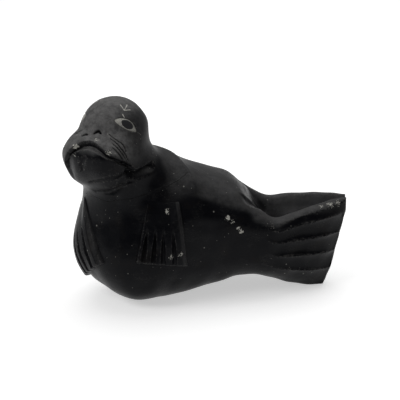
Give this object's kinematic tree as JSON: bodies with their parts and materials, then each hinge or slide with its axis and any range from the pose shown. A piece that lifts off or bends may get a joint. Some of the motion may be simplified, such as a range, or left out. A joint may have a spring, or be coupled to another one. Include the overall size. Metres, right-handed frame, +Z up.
{
  "type": "seal figurine",
  "caption": "Small carved stone figurine of a resting seal with raised, turned head, fore flippers in relief and fluted hind flippers; it stands loose on a shelf or table.",
  "frame": {"origin": "on the surface that the figurine stands on, under the middle of its bounding box", "axes": "+X along the body towards the hind flippers, +Z up, -Y out of the seal's left side, the side its head is turned to"},
  "size_m": [0.1504, 0.0718, 0.1096],
  "materials": {
    "black_soapstone": null
  },
  "bodies": {
    "root": {"seal": "black_soapstone"}
  },
  "joints": []
}
